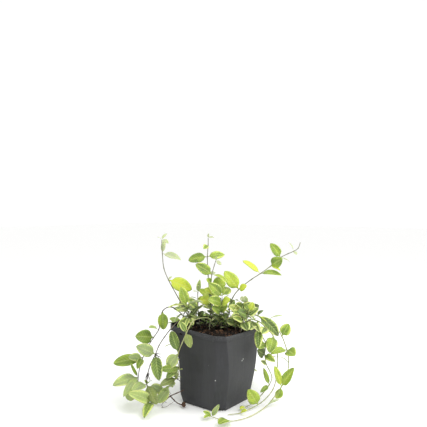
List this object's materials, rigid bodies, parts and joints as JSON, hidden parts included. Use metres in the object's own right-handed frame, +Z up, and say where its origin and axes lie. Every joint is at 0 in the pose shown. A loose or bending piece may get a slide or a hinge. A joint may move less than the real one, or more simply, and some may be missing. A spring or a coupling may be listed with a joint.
{
  "type": "potted lesser periwinkle",
  "caption": "Small square nursery pot of compost with a trailing evergreen plant: thin arching stems that carry pairs of pointed, cream-edged leaves.",
  "frame": {"origin": "middle of the underside of the pot's base, on the surface that it stands on", "axes": "+Z up; X and Y square to the pot's walls; the plant's show side looks out over the pot's corner between +X and -Y"},
  "size_m": [0.1971, 0.2093, 0.213],
  "materials": {
    "pot_plastic": "thin moulded recycled polypropylene, dark grey, dull sheen",
    "peat": "loose dark peat compost, matt",
    "leaf_and_stem": "smooth waxy leaf, green with cream to yellow edges",
    "dry_wood": "dry brown twig, matt"
  },
  "bodies": {
    "root": {"pot": "pot_plastic", "soil": "peat", "tall_left": "leaf_and_stem", "crown_left": "leaf_and_stem", "tall_centre": "leaf_and_stem", "mid_centre": "leaf_and_stem", "small_left": "leaf_and_stem", "crown_centre": "leaf_and_stem", "right_long": "leaf_and_stem", "crown_right": "leaf_and_stem", "crown_back_right": "leaf_and_stem", "crown_front": "leaf_and_stem", "right_outer": "leaf_and_stem", "right_inner": "leaf_and_stem", "right_low": "leaf_and_stem", "left_pale": "leaf_and_stem", "left_inner": "leaf_and_stem", "left_outer": "leaf_and_stem", "back_far_left": "leaf_and_stem", "back_left": "leaf_and_stem", "back_mid_left": "leaf_and_stem", "back_middle": "leaf_and_stem", "back_mid_right": "leaf_and_stem", "back_right": "leaf_and_stem", "dead_twig": "dry_wood"}
  },
  "joints": []
}
